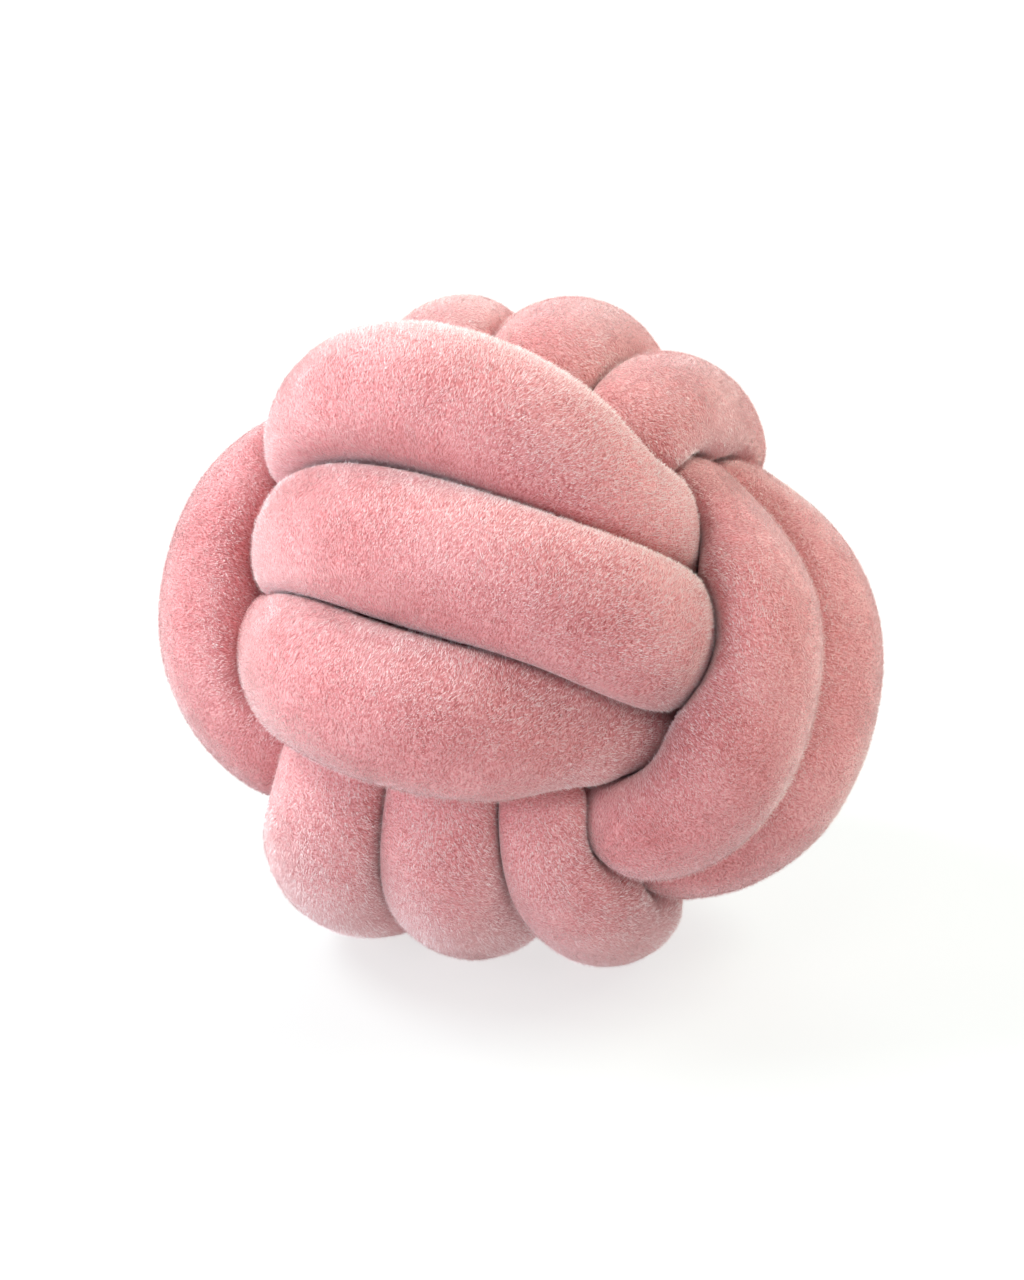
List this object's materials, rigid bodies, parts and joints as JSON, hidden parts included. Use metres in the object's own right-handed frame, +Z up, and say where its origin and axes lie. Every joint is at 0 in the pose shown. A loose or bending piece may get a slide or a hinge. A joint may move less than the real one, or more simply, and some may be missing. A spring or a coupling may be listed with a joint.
{
  "type": "knot cushion",
  "caption": "Round knot cushion: a long stuffed plush tube tied into a ball of woven bands, flattened a little where it rests.",
  "frame": {"origin": "on the floor under the middle of the cushion's bounding box", "axes": "+Z up, -Y towards the face with the three level strands, +X to that face's right"},
  "size_m": [0.3002, 0.2958, 0.2789],
  "materials": {
    "plush": "short brushed pile, dusty pink"
  },
  "bodies": {
    "root": {"knotted_tube": "plush"}
  },
  "joints": []
}
